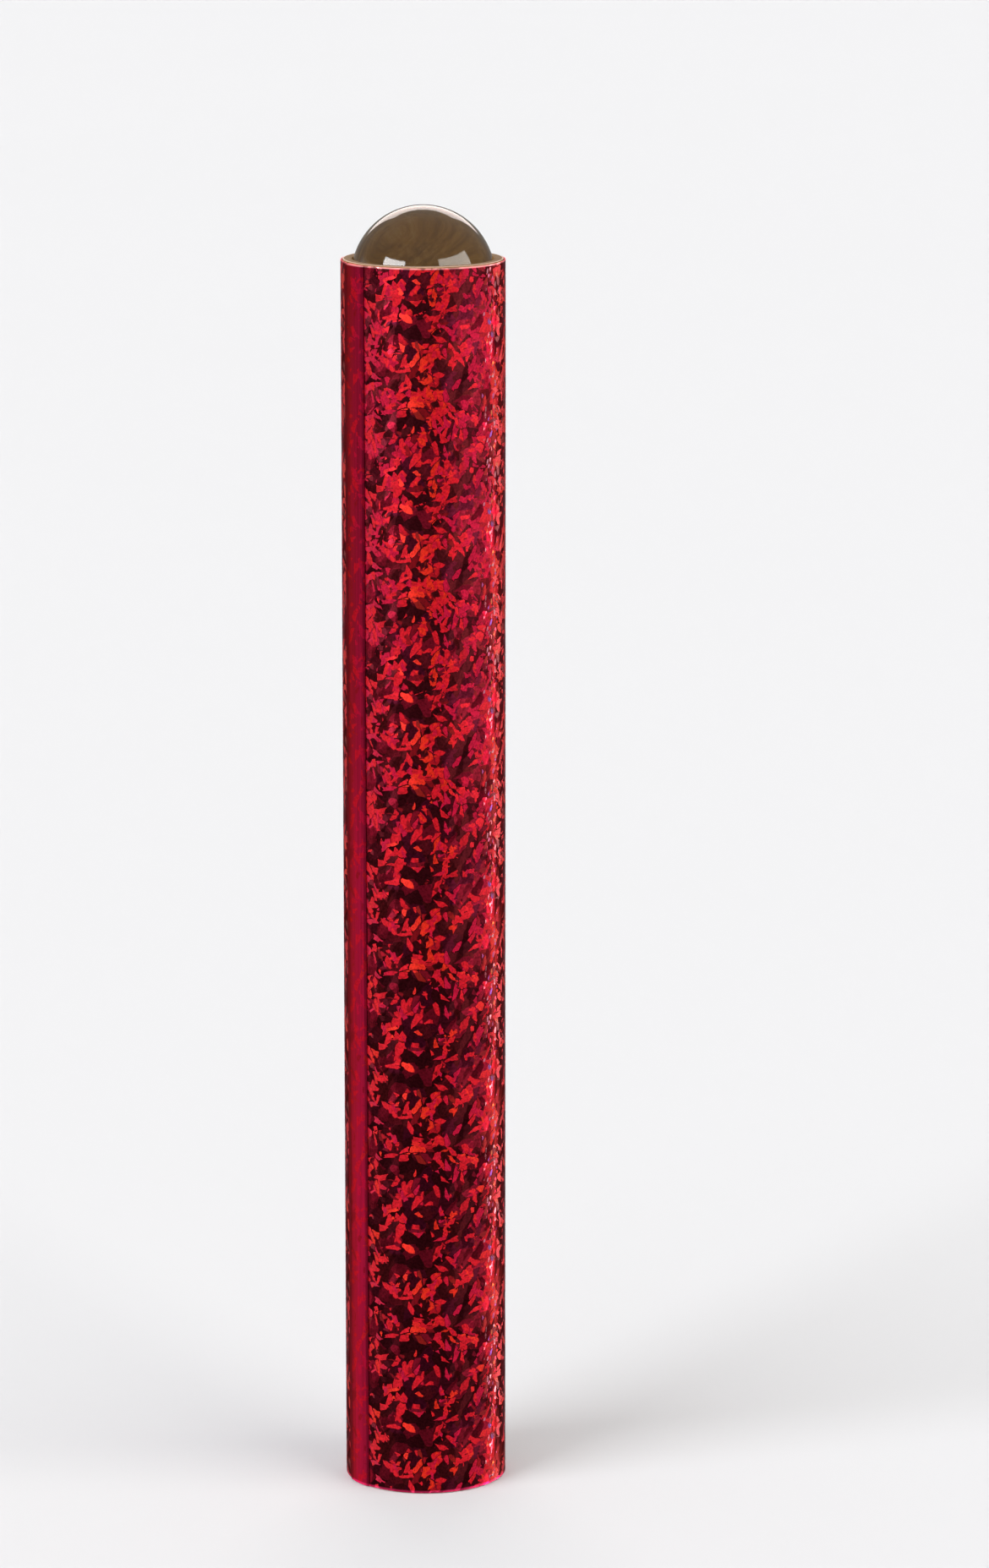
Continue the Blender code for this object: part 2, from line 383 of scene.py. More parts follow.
def slivers(recipe, place, bend, share, gap):
    """Slivers of one lie: whether a point is on one that shines, and the numbers drawn for it."""
    bent = recipe.vector("ADD", place, bend)
    cell = recipe.cells(bent, 1.0).outputs["Color"]
    edge = recipe.cells(bent, 1.0, "DISTANCE_TO_EDGE").outputs["Distance"]
    draw = recipe.split(cell)[0]
    picked = recipe.sum("LESS_THAN", draw, share)
    inside = recipe.sum("GREATER_THAN", edge, gap)
    return recipe.sum("MULTIPLY", picked, inside), cell


def up_the_tube(recipe, up, low, high):
    """A value that changes from low to high up the tube, between the heights where the film's painted
    shade at the foot gives way to painted light at the head.
    """
    return recipe.fade(up, DARK_BELOW, BRIGHT_ABOVE, low, high)


def film_slivers(recipe, look, across, up, even, bend):
    """All the lies of slivers, each over the last: whether a point shines, and its sliver's draw."""
    crowd = recipe.fade(recipe.noise(even, 0.17, 1.0).outputs["Fac"], 0.36, 0.62, 0.35, 1.45)
    # More slivers shine higher up the tube: painted light from above.
    climb = recipe.fade(up, 70.0, 190.0, 1.0, 1.6)
    cover = recipe.sum("MULTIPLY", recipe.sum("MULTIPLY", crowd, climb), look.chip_cover)
    size = look.chip_size / MM
    lit, draw = None, None
    for degrees, length, width, share, gap in SLIVER_LIES:
        lie = math.radians(degrees)
        place = rolled(recipe, across, up, look.pattern_repeat, lie, length * size, width * size)
        mask, cell = slivers(recipe, place, bend, recipe.sum("MULTIPLY", cover, share), gap)
        draw = cell if draw is None else recipe.mix(mask, draw, cell)
        lit = mask if lit is None else recipe.sum("MAXIMUM", lit, mask)
    return lit, draw


def film_reds(recipe, look, across, up, even, bend, lit, draw):
    """The slivers' reds over the darker patches between them.

    The red is warmest in broad stripes up the tube, one of them in front, and cooler between: painted
    light, the orange that the film sends towards the front. The stripes grow stronger higher up, and the
    slivers are warmer at the foot.
    """
    _, warm_draw, dim_draw = recipe.split(draw)
    # Painted light: the warm stripes, one in front, stand in for the orange that the film sends towards
    # the front.
    stripe = recipe.sum("SINE", recipe.sum("MULTIPLY", across, -PAINTED_WARM_STRIPES * MM / FILM_OUTER))
    warmer = recipe.sum("ADD", warm_draw, up_the_tube(recipe, up, 0.12, 0.0))
    warmth = recipe.sum("MULTIPLY_ADD", stripe, up_the_tube(recipe, up, 0.08, 0.34), warmer)
    tint = recipe.ramp(
        warmth,
        [
            (0.00, opaque(look.crimson)),
            (0.22, opaque(look.crimson)),
            (0.36, opaque(look.red)),
            (0.86, opaque(look.red)),
            (1.00, opaque(look.orange)),
        ],
    )
    # The ground between slivers: partly the film's own dark red, partly painted shade, the dark
    # surroundings that the mirror film shows.
    patch = recipe.split(recipe.cells(recipe.vector("ADD", even, bend), 0.42).outputs["Color"])
    patches = [(0.15, look.ground), *GROUND_PATCHES]
    ground = recipe.ramp(patch[1], [(place, opaque(colour)) for place, colour in patches])
    dim = recipe.fade(dim_draw, 0.76, 0.86, 1.0, 0.30)
    speckle = recipe.noise(even, 2.6, 3.0).outputs["Fac"]
    grain = recipe.fade(speckle, 0.32, 0.62, 0.62, 1.05)
    # Painted shade and painted light: the ground is darker at the foot and lighter at the head, over its
    # random grain.
    grain_and_painted_light = recipe.sum("MULTIPLY", grain, up_the_tube(recipe, up, 0.70, 1.05))
    strength = recipe.sum("MULTIPLY", dim, grain)
    return recipe.mix(lit, recipe.scaled(ground, grain_and_painted_light), recipe.scaled(tint, strength))


def film_painted_glints(recipe, look, across, up, colour, bend):
    """Painted glints: fine specks of other colours, in a band up the tube where the light catches the
    film.
    """
    off = recipe.sum("ABSOLUTE", recipe.sum("SUBTRACT", across, GLINT_HEADING * FILM_OUTER / MM))
    band = recipe.fade(off, 0.0, GLINT_SPREAD * FILM_OUTER / MM, 1.0, 0.0)
    fine = rolled(recipe, across, up, look.pattern_repeat, *GLINT_SHAPE)
    share = recipe.sum("MULTIPLY", band, GLINT_SHARE)
    mask, cell = slivers(recipe, fine, bend, share, GLINT_GAP)
    hues = [(place, opaque(hue)) for place, hue in GLINT_COLOURS]
    return recipe.mix(mask, colour, recipe.ramp(recipe.split(cell)[1], hues))


def film_margin(recipe, look, across, up, colour, lit, draw):
    """Lays the plain margin down the film's edge: the colour with it, and its share of a point.

    Its streaks run up the tube, and a few slivers show through it.
    """
    end = (LAP_START + math.tau + LAP_WIDTH) * FILM_OUTER / MM
    start = end - look.margin / MM
    drawn_out = recipe.joined(
        recipe.sum("MULTIPLY", across, 2.5), recipe.sum("MULTIPLY", up, 0.03), 0.0
    )
    streaks = recipe.noise(drawn_out, 1.0, 3.0).outputs["Fac"]
    streaked = recipe.mix(streaks, opaque(MARGIN_DARK), opaque(MARGIN_LIGHT))
    plain = recipe.scaled(streaked, up_the_tube(recipe, up, 0.95, 0.62))
    margin = recipe.fade(across, start - 0.15, start + 0.15)
    ghost = recipe.sum("MULTIPLY", lit, recipe.sum("LESS_THAN", recipe.split(draw)[0], 0.08))
    share = recipe.sum("MULTIPLY_ADD", ghost, -0.5, margin, clamp=True)
    return recipe.mix(share, colour, plain), margin


def film_normal(recipe, look, even, draw, off_margin):
    """Each sliver lies at its own small tilt, on film that ripples over the board."""
    leaning = recipe.sum("MULTIPLY", off_margin, look.chip_tilt)
    tilt = recipe.scaled(recipe.vector("SUBTRACT", draw, (0.5, 0.5, 0.5)), leaning)
    x, y, _ = recipe.split(tilt)
    code = recipe.joined(recipe.sum("ADD", x, 0.5), recipe.sum("ADD", y, 0.5), 1.0)
    tilted = recipe.add("ShaderNodeNormalMap", {"Color": code}, uv_map=FILM_UV).outputs["Normal"]
    ripple = recipe.noise(even, 0.25, 2.0).outputs["Fac"]
    return recipe.bump(ripple, 0.12 * MM, 0.6, Normal=tilted)


def film_finish(look):
    """Red metallised film, pressed all over with slivers that each throw the light their own way."""
    recipe = material_recipe("red_shard_film")
    sheet = recipe.add("ShaderNodeUVMap", uv_map=FILM_UV).outputs["UV"]
    across, up, _ = recipe.split(recipe.scaled(sheet, 1.0 / MM))
    even = rolled(recipe, across, up, look.pattern_repeat)
    push = recipe.vector("SUBTRACT", recipe.noise(even, 0.9, 2.0).outputs["Color"], (0.5, 0.5, 0.5))
    bend = recipe.scaled(push, look.chip_bend)
    lit, draw = film_slivers(recipe, look, across, up, even, bend)
    colour = film_reds(recipe, look, across, up, even, bend, lit, draw)
    colour = film_painted_glints(recipe, look, across, up, colour, bend)
    colour, margin = film_margin(recipe, look, across, up, colour, lit, draw)
    off_margin = recipe.sum("SUBTRACT", 1.0, margin)
    lit = recipe.sum("MULTIPLY", lit, off_margin)

    # The foot gets a bright line, a painted highlight along the film's lower edge; the cut shows as a
    # pale line at the head.
    top = FILM_HIGH.z / MM
    foot = recipe.fade(up, 0.35, 0.75, 1.0, 0.0)
    head = recipe.fade(up, top - 0.30, top - 0.12)
    colour = recipe.mix(foot, colour, opaque(FOOT_HIGHLIGHT))
    colour = recipe.mix(head, colour, opaque(HEAD_LINE))
    shader = recipe.principled(
        Base_Color=colour,
        Metallic=recipe.fade(lit, 0.0, 1.0, 0.9, 0.34),
        Roughness=recipe.fade(lit, 0.0, 1.0, 0.28, 0.40),
        Normal=film_normal(recipe, look, even, draw, off_margin),
        Specular_Tint=opaque(look.sheen),
    )
    return recipe.finish(shader.outputs["BSDF"])


def kraft_finish(name, look):
    """Wound kraft board: long fibres, specks, a winding seam, and plies at the cut ends."""
    recipe = material_recipe(name)
    place = recipe.object_place()
    x, y, z = recipe.split(place)
    squares = recipe.sum("ADD", recipe.sum("POWER", x, 2.0), recipe.sum("POWER", y, 2.0))
    radius = recipe.sum("SQRT", squares)
    turn = recipe.sum("DIVIDE", recipe.sum("ARCTAN2", y, x), math.tau)
    climb = recipe.sum("ADD", recipe.sum("DIVIDE", z, WINDING_PITCH / MM), turn)
    off_seam = recipe.sum("ABSOLUTE", recipe.sum("SUBTRACT", recipe.sum("FRACT", climb), 0.5))
    seam = recipe.fade(off_seam, 0.0, 0.012, 1.0, 0.0)
    wound = recipe.joined(
        recipe.sum("MULTIPLY", turn, 30.0), recipe.sum("MULTIPLY", climb, 90.0), radius
    )
    fibres = recipe.noise(wound, 1.6, 5.0, 0.65).outputs["Fac"]
    specks = recipe.noise(place, 2.6, 4.0, 0.7).outputs["Fac"]
    tone = recipe.sum(
        "ADD", recipe.sum("MULTIPLY", fibres, 0.6), recipe.sum("MULTIPLY", specks, 0.4)
    )
    dark, light = opaque(look.kraft_dark), opaque(look.kraft_light)
    board = recipe.ramp(tone, [(0.30, dark), (0.55, opaque(look.kraft)), (0.72, light)])

    # At the cut ends the plies show as rings, and the outermost one is the paler facing paper.
    plies = recipe.sum("FRACT", recipe.sum("DIVIDE", radius, look.ply / MM))
    ply_line = recipe.fade(recipe.sum("ABSOLUTE", recipe.sum("SUBTRACT", plies, 0.5)), 0.30, 0.5)
    facing = recipe.split(recipe.add("ShaderNodeNewGeometry").outputs["Normal"])[2]
    cut = recipe.fade(recipe.sum("ABSOLUTE", facing), 0.7, 0.95)
    last_ply = (BOARD_OUTER - look.ply) / MM
    outer_ply = recipe.fade(radius, last_ply - 0.05, last_ply + 0.05)
    lined = recipe.mix(recipe.sum("MULTIPLY", ply_line, 0.5), recipe.mix(tone, dark, light), dark)
    colour = recipe.mix(cut, board, recipe.mix(outer_ply, lined, opaque(look.cut_edge)))
    colour = recipe.mix(recipe.sum("MULTIPLY", seam, 0.6), colour, dark)
    sunk = recipe.sum("ADD", seam, recipe.sum("MULTIPLY", ply_line, cut))
    shader = recipe.principled(
        Base_Color=colour,
        Roughness=recipe.fade(tone, 0.3, 0.7, 0.95, 0.8),
        Normal=recipe.bump(recipe.sum("SUBTRACT", tone, sunk), 0.05 * MM, 0.8),
    )
    return recipe.finish(shader.outputs["BSDF"])


def glass_finish(look):
    """Clear solid glass with the faintest haze of handling; lamps shine through it."""
    recipe = material_recipe("clear_marble_glass")
    place = recipe.object_place()
    smears = recipe.noise(place, 0.35, 3.0, 0.6).outputs["Fac"]
    glass = recipe.principled(
        Base_Color=opaque(look.glass),
        Roughness=recipe.fade(smears, 0.52, 0.75, 0.0, 0.03),
        IOR=look.glass_ior,
        Transmission_Weight=1.0,
    )
    dimmed = opaque([look.lamp_share * part for part in look.glass])
    open_to_lamps = recipe.add("ShaderNodeBsdfTransparent", {"Color": dimmed})
    ray = recipe.add("ShaderNodeLightPath").outputs["Is Shadow Ray"]
    both = recipe.add("ShaderNodeMixShader")
    recipe.feed(both.inputs[0], ray)
    recipe.feed(both.inputs[1], glass.outputs["BSDF"])
    recipe.feed(both.inputs[2], open_to_lamps.outputs["BSDF"])
    return recipe.finish(both.outputs["Shader"])


def mirror_finish():
    """Silvered strip: bright metal with wiping haze and a few pinholes in the coating."""
    recipe = material_recipe("silvered_face")
    place = recipe.object_place()
    across, along, up = recipe.split(place)
    wiped = recipe.joined(
        recipe.sum("MULTIPLY", across, 2.0),
        recipe.sum("MULTIPLY", along, 2.0),
        recipe.sum("MULTIPLY", up, 0.25),
    )
    haze = recipe.noise(wiped, 0.5, 4.0, 0.6).outputs["Fac"]
    holes = recipe.cells(place, 0.4).outputs["Distance"]
    pinhole = recipe.fade(holes, 0.03, 0.05, 1.0, 0.0)
    silver = recipe.ramp(haze, [(0.3, (0.80, 0.81, 0.82, 1.0)), (0.7, (0.92, 0.93, 0.94, 1.0))])
    shader = recipe.principled(
        Base_Color=recipe.mix(pinhole, silver, (0.05, 0.05, 0.055, 1.0)),
        Metallic=1.0,
        Roughness=recipe.fade(haze, 0.4, 0.75, 0.02, 0.16),
    )
    return recipe.finish(shader.outputs["BSDF"])


def tape_finish(look):
    """Creped paper tape: fine cross ridges and a soft fibre mottle."""
    recipe = material_recipe("creped_tape")
    run = recipe.add("ShaderNodeUVMap", uv_map=TAPE_UV).outputs["UV"]
    along, up, _ = recipe.split(recipe.scaled(run, 1.0 / MM))
    ridged = recipe.joined(
        recipe.sum("MULTIPLY", along, 2.2), recipe.sum("MULTIPLY", up, 0.35), 0.0
    )
    crepe = recipe.noise(ridged, 2.2, 4.0, 0.6).outputs["Fac"]
    mottle = recipe.noise(recipe.joined(along, up, 0.0), 0.6, 3.0).outputs["Fac"]
    tone = recipe.sum("ADD", recipe.sum("MULTIPLY", crepe, 0.5), recipe.sum("MULTIPLY", mottle, 0.5))
    pale = opaque(look.tape)
    dull = opaque([0.7 * part for part in look.tape])
    shader = recipe.principled(
        Base_Color=recipe.mix(recipe.fade(tone, 0.35, 0.65), dull, pale),
        Roughness=recipe.fade(crepe, 0.3, 0.7, 0.72, 0.55),
        Normal=recipe.bump(crepe, 0.05 * MM, 0.9),
    )
    return recipe.finish(shader.outputs["BSDF"])


def moulded_finish(look):
    """Black moulded plastic: a fine spark-eroded grain, with faint flow marks from the gate."""
    recipe = material_recipe("black_moulding")
    place = recipe.object_place()
    grain = recipe.noise(place, 9.0, 2.0, 0.6).outputs["Fac"]
    flow = recipe.noise(place, 0.5, 3.0, 0.5).outputs["Fac"]
    black = opaque(look.plug)
    worn = opaque([part * 2.2 + 0.004 for part in look.plug])
    shader = recipe.principled(
        Base_Color=recipe.mix(recipe.fade(flow, 0.4, 0.8), black, worn),
        Roughness=recipe.fade(flow, 0.3, 0.7, 0.34, 0.48),
        Normal=recipe.bump(grain, 0.012 * MM, 0.6),
    )
    return recipe.finish(shader.outputs["BSDF"])


def pane_finish(look):
    """The clear sheet disc, with hairline wiping marks."""
    recipe = material_recipe("clear_sheet")
    x, y, _ = recipe.split(recipe.object_place())
    wiped = recipe.joined(recipe.sum("MULTIPLY", x, 0.3), recipe.sum("MULTIPLY", y, 6.0), 0.0)
    marks = recipe.noise(wiped, 1.5, 3.0, 0.7).outputs["Fac"]
    shader = recipe.principled(
        Base_Color=opaque(look.pane),
        Roughness=recipe.fade(marks, 0.6, 0.8, 0.02, 0.12),
        IOR=1.49,
        Transmission_Weight=1.0,
    )
    return recipe.finish(shader.outputs["BSDF"])


def floor_finish(look):
    """Matt pale studio board."""
    recipe = material_recipe("studio_board")
    place = recipe.add("ShaderNodeTexCoord").outputs["Object"]
    cloud = recipe.noise(place, 3.0, 3.0).outputs["Fac"]
    plain = opaque(look.floor)
    softer = opaque([0.99 * part for part in look.floor])
    shader = recipe.principled(
        Base_Color=recipe.mix(cloud, plain, softer),
        Roughness=0.9,
        Specular_IOR_Level=0.0,
    )
    return recipe.finish(shader.outputs["BSDF"])


# Panels of light: direction round the tube from the front (degrees, right is positive), half
# width, lowest and highest rise, softness of the edge, strength and colour.
LIGHT_PANELS = (
    (180.0, 26.0, 13.0, 38.0, 1.5, 3.2, (1.00, 0.88, 0.84)),
    (-52.0, 20.0, 9.0, 29.0, 1.5, 14.0, (0.98, 0.99, 1.00)),
    (58.0, 30.0, 8.0, 33.0, 1.5, 6.0, (1.00, 0.97, 0.90)),
    (114.0, 5.0, -45.0, -5.0, 1.5, 14.0, (1.00, 0.93, 0.90)),
    (72.0, 40.0, -14.0, 4.0, 4.0, 1.5, (1.00, 0.95, 0.95)),
    (-108.0, 18.0, -45.0, 10.0, 6.0, 1.0, (1.00, 0.95, 0.97)),
)
KEY_PLACE = (-0.6, -0.8, 1.2)
KEY_SPREAD = math.radians(35.0)
FLOOR_RADIUS = 14.0


# What a user would change --------------------------------------------------------------------
def colour_property(name, description, default):
    return FloatVectorProperty(
        name=name, description=description, default=default, subtype="COLOR", min=0.0, max=1.0, size=3
    )


class FilmLook(bpy.types.PropertyGroup):
    """The pressed metallic film round the tube."""

    chip_size: FloatProperty(
        name="Chip size", description="Middling width of a sliver", default=1.4 * MM, unit="LENGTH"
    )
    chip_cover: FloatProperty(
        name="Chip cover",
        description="How many of the slivers shine",
        default=0.205,
        min=0.0,
        max=1.0,
        subtype="FACTOR",
    )
    chip_tilt: FloatProperty(
        name="Chip tilt", description="How far a sliver leans", default=0.16, min=0.0, max=1.0
    )
    chip_bend: FloatProperty(
        name="Chip bend", description="How crooked a sliver's edges are", default=0.6, min=0.0, max=3.0
    )
    pattern_repeat: FloatProperty(
        name="Repeat",
        description="Height at which the pattern starts again",
        default=33.0 * MM,
        unit="LENGTH",
    )
    margin: FloatProperty(
        name="Margin", description="Plain strip down the film's edge", default=6.6 * MM, unit="LENGTH"
    )
    red: colour_property("Red", "Most of the shining slivers", (0.50, 0.0062, 0.0132))
    crimson: colour_property("Crimson", "The coolest slivers", (0.45, 0.0046, 0.0330))
    orange: colour_property("Orange red", "The warmest slivers", (0.53, 0.0160, 0.0050))
    # Partly the film's own dark red, partly painted shade: the dark surroundings that the mirror film
    # shows.
    ground: colour_property("Ground", "The film between slivers", (0.058, 0.0050, 0.0085))
    sheen: colour_property("Sheen", "Light that glances off the film", (0.82, 0.18, 0.26))


class BoardLook(bpy.types.PropertyGroup):
    """The paper parts: tube, seat, ring and tape."""

    # The board's browns are partly its own colour and partly painted shade: they are kept dark so that
    # the inside of the tube, seen through the marble, looks shaded.
    kraft: colour_property("Kraft", "The board's face", (0.275, 0.150, 0.048))
    kraft_dark: colour_property("Dark kraft", "Fibres and seams", (0.130, 0.068, 0.026))
    kraft_light: colour_property("Light kraft", "Fibres on top", (0.360, 0.215, 0.100))
    cut_edge: colour_property("Cut edge", "The knife-cut ends", (0.74, 0.50, 0.44))
    tape: colour_property("Tape", "The bands round the mirrors", (0.70, 0.62, 0.45))
    ply: FloatProperty(
        name="Ply", description="Thickness of one ply of the board", default=0.3 * MM, unit="LENGTH"
    )


class ClearLook(bpy.types.PropertyGroup):
    """Glass and plastic pieces."""

    glass: colour_property("Marble", "Tint of the glass", (0.92, 0.86, 0.64))
    glass_ior: FloatProperty(name="Refraction", description="Index of the glass", default=1.52, min=1.0)
    lamp_share: FloatProperty(
        name="Lamp share",
        description="Part of the lamps' light that the marble lets into the tube",
        default=0.42,
        min=0.0,
        max=1.0,
        subtype="FACTOR",
    )
    pane: colour_property("Pane", "Tint of the eyepiece window", (0.96, 0.97, 0.97))
    plug: colour_property("Plug", "The moulded eyepiece", (0.010, 0.010, 0.011))


class StageLook(bpy.types.PropertyGroup):
    """The studio: floor, light and camera."""

    floor: colour_property("Floor", "The studio board", (0.735, 0.748, 0.767))
    backdrop: colour_property("Backdrop", "What the camera sees past the floor", (0.91, 0.91, 0.918))
    above: colour_property("Above", "Light from overhead", (0.46, 0.46, 0.47))
    around: colour_property("Around", "Light from just over the floor", (0.24, 0.24, 0.24))
    below: colour_property("Below", "What gloss sees under the floor's edge", (0.28, 0.27, 0.27))
    power: FloatProperty(name="Power", description="Strength of the studio's light", default=1.0, min=0.0)
    key: FloatProperty(name="Key light", description="Strength of the far lamp", default=0.35, min=0.0)
    camera_distance: FloatProperty(
        name="Distance", description="Camera to tube, along the floor", default=1.030, unit="LENGTH"
    )
    camera_height: FloatProperty(
        name="Height", description="Camera above the floor", default=0.3377, unit="LENGTH"
    )
    camera_pitch: FloatProperty(
        name="Pitch",
        description="How far the camera looks down",
        default=math.radians(11.61),
        subtype="ANGLE",
    )
    camera_yaw: FloatProperty(
        name="Yaw",
        description="How far the camera looks right",
        default=math.radians(0.6875),
        subtype="ANGLE",
    )
    lens: FloatProperty(name="Lens", description="Focal length in millimetres", default=137.1)


# Operators -----------------------------------------------------------------------------------
class KALEIDOSCOPE_OT_board_tube(bpy.types.Operator):
    """Makes the wound board tube"""

    bl_idname = "kaleidoscope.board_tube"
    bl_label = "Board Tube"

    def execute(self, context):
        """A rectangle of board turned round the axis; its mouth curls in over the marble."""
        lip = BALL_RADIUS - MOUTH_CRIMP
        outline = rounded_outline(
            [
                (BORE_RADIUS, 0.0, 0.2 * MM),
                (BOARD_OUTER, 0.0, 0.25 * MM),
                (BOARD_OUTER, TUBE_LENGTH, 0.25 * MM),
                (lip, TUBE_LENGTH, 0.2 * MM),
                (lip, TUBE_LENGTH - MOUTH_LIP, 0.25 * MM),
                (BORE_RADIUS, TUBE_LENGTH - MOUTH_TURN, 0.4 * MM),
            ]
        )
        finish = kraft_finish("wound_kraft", context.scene.board_look)
        tube = turned("board_tube", outline, finish, steps=256)
        stand_for(tube, TUBE_BODY, "kraft_board", "tube_body")
        return {"FINISHED"}


class KALEIDOSCOPE_OT_film_wrap(bpy.types.Operator):
    """Rolls the pressed film round the tube"""

    bl_idname = "kaleidoscope.film_wrap"
    bl_label = "Film Wrap"

    def execute(self, context):
        """A strip carried once round the tube and on over its own start.

        Angle a runs from the start through a full turn and the lap. The radius steps up by the
        film and its glue where the lap begins, dips a little along the board's winding seam, and
        comes down to the layer below where the lap's edge is pressed on.
        """
        levels = 110
        sweep = math.tau + LAP_WIDTH
        plain = np.linspace(0.0, sweep - EDGE_PRESS, 280)
        turns = np.hstack([plain, sweep - EDGE_PRESS * EDGE_STEPS])
        angle = LAP_START + turns[:, None]
        rows = len(angle)
        height = np.linspace(FILM_LOW.z, FILM_HIGH.z, levels)[None, :]
        ramp = np.clip((angle - LAP_START - math.tau + LAP_RAMP) / LAP_RAMP, 0.0, 1.0)
        rise = (FILM_THICKNESS + FILM_GLUE_GAP) * ramp * ramp * (3 - 2 * ramp)
        winding = (height / WINDING_PITCH + angle / math.tau) % 1.0 - 0.5
        dip = SEAM_DIP * np.exp(-((winding / SEAM_SHARE) ** 2))
        press = np.clip(1 - (LAP_START + sweep - angle) / EDGE_PRESS, 0.0, 1.0) ** 2
        inner = FILM_OUTER - FILM_THICKNESS + rise - dip - 0.08 * MM * press
        outer = FILM_OUTER + rise - dip - 0.17 * MM * press
        radius = np.hstack([outer, inner[:, ::-1]])
        level = np.hstack([height, height[:, ::-1]]) + 0 * angle
        points = np.stack([radius * np.cos(angle), radius * np.sin(angle), level], axis=-1)
        uv = np.stack([angle * FILM_OUTER + 0 * level, level], axis=-1)
        faces = grid_faces(rows, 2 * levels, False, True)
        step = np.arange(levels - 1)
        back = 2 * levels - 1 - step
        first = np.stack([step, step + 1, back - 1, back], axis=-1)
        last = first[:, ::-1] + (rows - 1) * 2 * levels
        faces = np.vstack([faces, first, last])
        finish = film_finish(context.scene.film_look)
        film = make_piece("film_wrap", points, faces, finish, 40.0, FILM_UV, uv)
        stand_for(film, TUBE_BODY, "red_film", "foil_wrap")
        return {"FINISHED"}


class KALEIDOSCOPE_OT_marble(bpy.types.Operator):
    """Makes the clear glass marble"""

    bl_idname = "kaleidoscope.marble"
    bl_label = "Marble"

    def execute(self, context):
        """x = R cos b cos a, y = R cos b sin a, z = c + R sin b, b from pole to pole."""
        latitude = np.linspace(-math.pi / 2, math.pi / 2, 121)
        outline = np.stack(
            [BALL_RADIUS * np.cos(latitude), BALL_CENTRE + BALL_RADIUS * np.sin(latitude)], axis=-1
        )
        outline[[0, -1], 0] = 0.0
        finish = glass_finish(context.scene.clear_look)
        ball = turned("glass_marble", outline, finish, steps=240, sharp_degrees=60.0, closed=False)
        stand_for(ball, MARBLE_BODY, "clear_glass", "marble")
        return {"FINISHED"}


class KALEIDOSCOPE_OT_marble_seat(bpy.types.Operator):
    """Makes the card ring that the marble rests on"""

    bl_idname = "kaleidoscope.marble_seat"
    bl_label = "Marble Seat"

    def execute(self, context):
        """A square section with a crushed inner edge, turned round the axis."""
        outline = rounded_outline(
            [
                (SEAT_INNER, SEAT_LOW.z, CARD_EASE),
                (SEAT_HIGH.x, SEAT_LOW.z, CARD_EASE),
                (SEAT_HIGH.x, SEAT_HIGH.z, CARD_EASE),
                (SEAT_INNER + SEAT_CRUSH, SEAT_HIGH.z, CARD_EASE),
                (SEAT_INNER, SEAT_HIGH.z - SEAT_CRUSH, CARD_EASE),
            ]
        )
        seat = turned("seat_ring", outline, kraft_finish("seat_kraft", context.scene.board_look))
        stand_for(seat, TUBE_BODY, "seat_card", "marble_seat")
        return {"FINISHED"}


class KALEIDOSCOPE_OT_mirror_prism(bpy.types.Operator):
    """Silvers the three mirror strips and makes the tape bands round them"""

    bl_idname = "kaleidoscope.mirror_prism"
    bl_label = "Mirror Prism"

    def execute(self, context):
        silver = mirror_finish()
        for number in (1, 2, 3):
            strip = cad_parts[f"mirror_strip_{number}"]
            strip.data.materials.clear()
            strip.data.materials.append(silver)
        tape = tape_finish(context.scene.board_look)
        for level in TAPE_LEVELS:
            self.make_band(level, tape)
        return {"FINISHED"}

    def make_band(self, level, finish):
        """A thin band carried round the prism: three long flats joined over the corners.

        Its distance from the axis in direction a is the nearest of six flats, three on the
        strips' backs and three across the corners, softened where they meet.
        """
        node = f"prism_tape_{level}"
        low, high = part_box(node)
        back = -low.y - TAPE_THICKNESS
        corner = max(high.x, -low.x) - TAPE_THICKNESS
        rows, levels = 360, 25
        angle = np.linspace(0.0, math.tau, rows, endpoint=False)[:, None]
        flats = np.radians(STRIP_FACINGS)[None, :]
        backs = np.cos(angle - flats)
        corners = np.cos(angle - flats - math.pi / 3)
        reach = self.corner_reach(back, corner)
        pulls = np.hstack([backs / back, corners / reach]).clip(1e-6, None)
        inverse = (pulls**TAPE_STEEPNESS).sum(axis=1, keepdims=True) ** (1 / TAPE_STEEPNESS)
        inner = 1.0 / inverse
        height = np.linspace(low.z, high.z, levels)[None, :]
        crepe = TAPE_CREPE * np.sin(angle * 150 + 3 * np.sin(height * 900))
        outer = inner + TAPE_THICKNESS * 0.8 + crepe
        radius = np.hstack([outer, np.repeat(inner, levels, axis=1)])
        rise = np.hstack([height, height[:, ::-1]]) + 0 * angle
        points = np.stack([radius * np.cos(angle), radius * np.sin(angle), rise], axis=-1)
        uv = np.stack([angle * back + 0 * rise, rise], axis=-1)
        faces = grid_faces(rows, 2 * levels, True, True)
        band = make_piece(f"tape_band_{level}", points, faces, finish, 50.0, TAPE_UV, uv)
        stand_for(band, TUBE_BODY, "paper_tape", node)

    @staticmethod
    def corner_reach(back, corner_x):
        """Distance of a corner flat, from the strip's back and the band's widest point.

        The widest point is where the corner flat that faces 30 degrees down meets the back that
        faces 30 degrees up; solving the two lines gives the flat's own distance.
        """
        slant = math.radians(30.0)
        height = (back - corner_x * math.cos(slant)) / math.sin(slant)
        return corner_x * math.cos(slant) - height * math.sin(slant)


